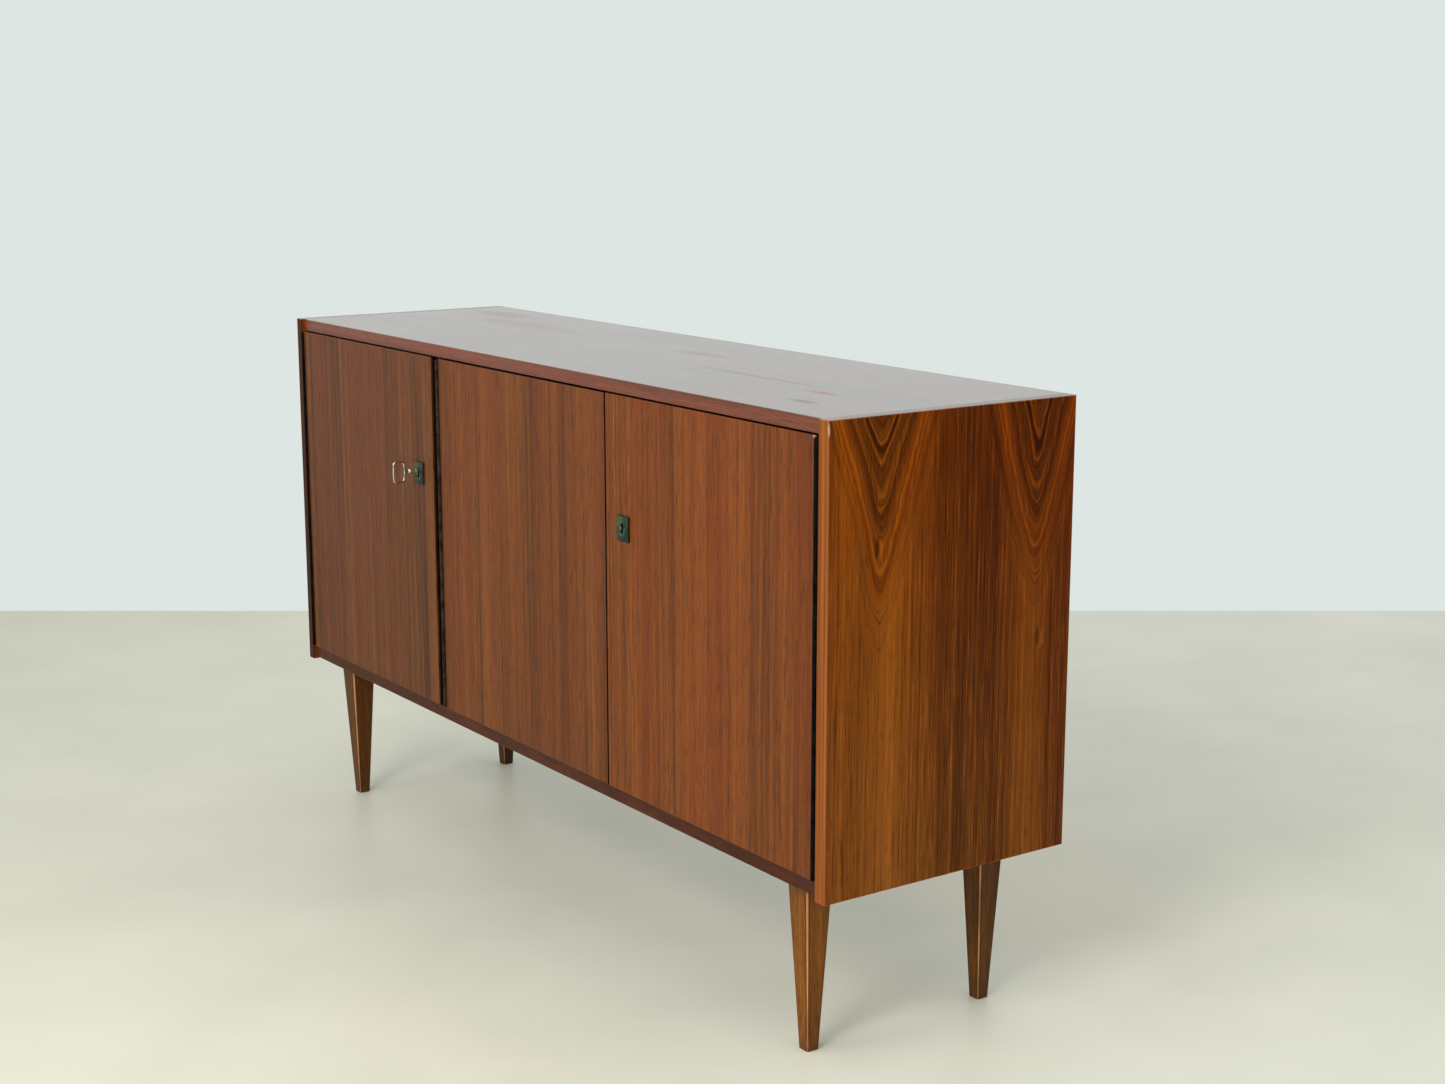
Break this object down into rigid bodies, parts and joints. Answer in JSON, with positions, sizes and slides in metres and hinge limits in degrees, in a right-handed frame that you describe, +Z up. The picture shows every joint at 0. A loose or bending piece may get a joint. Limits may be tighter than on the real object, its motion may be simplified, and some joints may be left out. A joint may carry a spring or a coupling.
{
  "type": "sideboard buffet",
  "caption": "Low sideboard with upright inset doors on continuous hinges, key-locked cupboards, shelves inside and square tapered legs.",
  "frame": {"origin": "centre of the bounding box's base, on the floor", "axes": "+X along the length to the right as seen from the front, -Y to the front, +Z up"},
  "size_m": [1.5, 0.4474, 0.838],
  "materials": {
    "door_teak": "satin oiled teak veneer, grain upright",
    "side_walnut": "satin figured veneer, grain upright",
    "top_teak": "satin lacquered veneer, grain lengthwise",
    "carcass_teak": "satin veneer",
    "inside_veneer": "satin veneer",
    "back_ply": "unlacquered plywood",
    "beech": "plain",
    "leg_teak": "satin solid wood",
    "hinge_steel": "darkened",
    "zinc_screw": "zinc plated",
    "lock_steel": "plain",
    "lock_brass": "dulled",
    "patinated_brass": "dark green patina",
    "key_brass": "worn nickel plate on brass"
  },
  "bodies": {
    "carcass": {"back_panel": "back_ply", "back_screws": "zinc_screw", "bottom_panel": "carcass_teak", "divider": "carcass_teak", "door_stops": "beech", "dowels": "beech", "hinge_left_fixed_leaf": "hinge_steel", "hinge_left_fixed_screws": "hinge_steel", "hinge_left_pin": "hinge_steel", "hinge_middle_fixed_leaf": "hinge_steel", "hinge_middle_fixed_screws": "hinge_steel", "hinge_middle_pin": "hinge_steel", "hinge_right_fixed_leaf": "hinge_steel", "hinge_right_fixed_screws": "hinge_steel", "hinge_right_pin": "hinge_steel", "leg_back_left": "leg_teak", "leg_back_right": "leg_teak", "leg_front_left": "leg_teak", "leg_front_right": "leg_teak", "leg_inserts": "zinc_screw", "leg_studs": "zinc_screw", "shelf_left": "inside_veneer", "shelf_pins_left": "zinc_screw", "shelf_pins_right": "zinc_screw", "shelf_right": "inside_veneer", "side_left": "side_walnut", "side_right": "side_walnut", "strike_left": "lock_brass", "strike_left_screws": "zinc_screw", "top_panel": "top_teak"},
    "door_left": {"door_left": "door_teak", "hinge_left_door_leaf": "hinge_steel", "hinge_left_door_screws": "hinge_steel", "lock_left_case": "lock_steel", "lock_left_cover": "lock_steel", "lock_left_screws": "zinc_screw", "key_plate_left": "patinated_brass", "key_plate_left_nails": "patinated_brass"},
    "door_middle": {"door_middle": "door_teak", "hinge_middle_door_leaf": "hinge_steel", "hinge_middle_door_screws": "hinge_steel", "strike_right": "lock_brass", "strike_right_screws": "zinc_screw", "slide_top_holder": "lock_brass", "slide_bottom_holder": "lock_brass", "slide_screws": "zinc_screw"},
    "door_right": {"door_right": "door_teak", "hinge_right_door_leaf": "hinge_steel", "hinge_right_door_screws": "hinge_steel", "lock_right_case": "lock_steel", "lock_right_cover": "lock_steel", "lock_right_screws": "zinc_screw", "key_plate_right": "patinated_brass", "key_plate_right_nails": "patinated_brass"},
    "left_lock_bolt": {"lock_left_bolt": "lock_steel"},
    "right_lock_bolt": {"lock_right_bolt": "lock_steel"},
    "key": {"key": "key_brass"},
    "top_slide": {"slide_top_rod": "lock_brass"},
    "bottom_slide": {"slide_bottom_rod": "lock_brass"}
  },
  "joints": [
    {"name": "left_door_hinge", "type": "hinge", "parent": "carcass", "child": "door_left", "pos_m": [-0.7271, -0.17625, 0.5385], "axis": [0, 0, -1], "range_deg": [0, 170]},
    {"name": "middle_door_hinge", "type": "hinge", "parent": "carcass", "child": "door_middle", "pos_m": [-0.2346, -0.17625, 0.5385], "axis": [0, 0, -1], "range_deg": [0, 125]},
    {"name": "right_door_hinge", "type": "hinge", "parent": "carcass", "child": "door_right", "pos_m": [0.7271, -0.17625, 0.5385], "axis": [0, 0, 1], "range_deg": [0, 170]},
    {"name": "key_turn", "type": "hinge", "parent": "door_left", "child": "key", "pos_m": [-0.3015, -0.17625, 0.634], "axis": [0, -1, 0], "range_deg": [0, 90]},
    {"name": "left_bolt_throw", "type": "slide", "parent": "door_left", "child": "left_lock_bolt", "axis": [1, 0, 0], "range_m": [0, 0.008]},
    {"name": "right_bolt_throw", "type": "slide", "parent": "door_right", "child": "right_lock_bolt", "axis": [-1, 0, 0], "range_m": [0, 0.008]},
    {"name": "top_slide_throw", "type": "slide", "parent": "door_middle", "child": "top_slide", "axis": [0, 0, 1], "range_m": [0, 0.01]},
    {"name": "bottom_slide_throw", "type": "slide", "parent": "door_middle", "child": "bottom_slide", "axis": [0, 0, -1], "range_m": [0, 0.01]}
  ],
  "couplings": [
    {"joint": "left_bolt_throw", "follows": "key_turn", "m_per_rad": 0.0050929}
  ]
}
